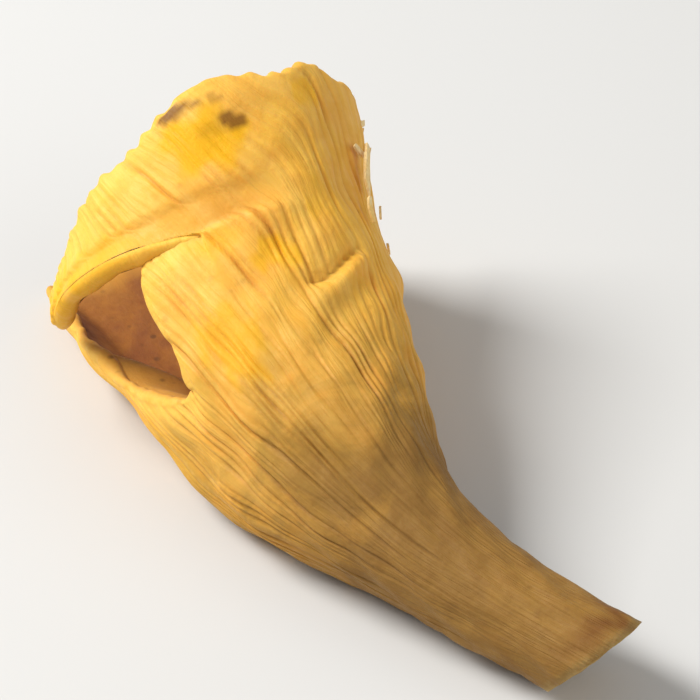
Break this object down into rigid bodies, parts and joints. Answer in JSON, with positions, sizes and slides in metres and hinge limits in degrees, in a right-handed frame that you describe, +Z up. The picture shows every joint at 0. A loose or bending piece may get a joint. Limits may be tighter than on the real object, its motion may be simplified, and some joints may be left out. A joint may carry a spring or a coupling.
{
  "type": "chanterelle mushroom",
  "caption": "Fresh chanterelle lying on its side: ridged yellow stem widening into a hollow trumpet cap with a thin wavy margin and a split lobe.",
  "frame": {"origin": "under the middle of the mushroom as it lies, on the surface that it rests on", "axes": "+Z up from the surface, +X towards the stem's cut end, -X towards the mouth of the trumpet, -Y towards the cap's split side"},
  "size_m": [0.0846, 0.0392, 0.0356],
  "materials": {
    "flesh": "matt, slightly waxy egg-yellow flesh with pale ridge crests"
  },
  "bodies": {
    "root": {"chanterelle": "flesh"}
  },
  "joints": []
}
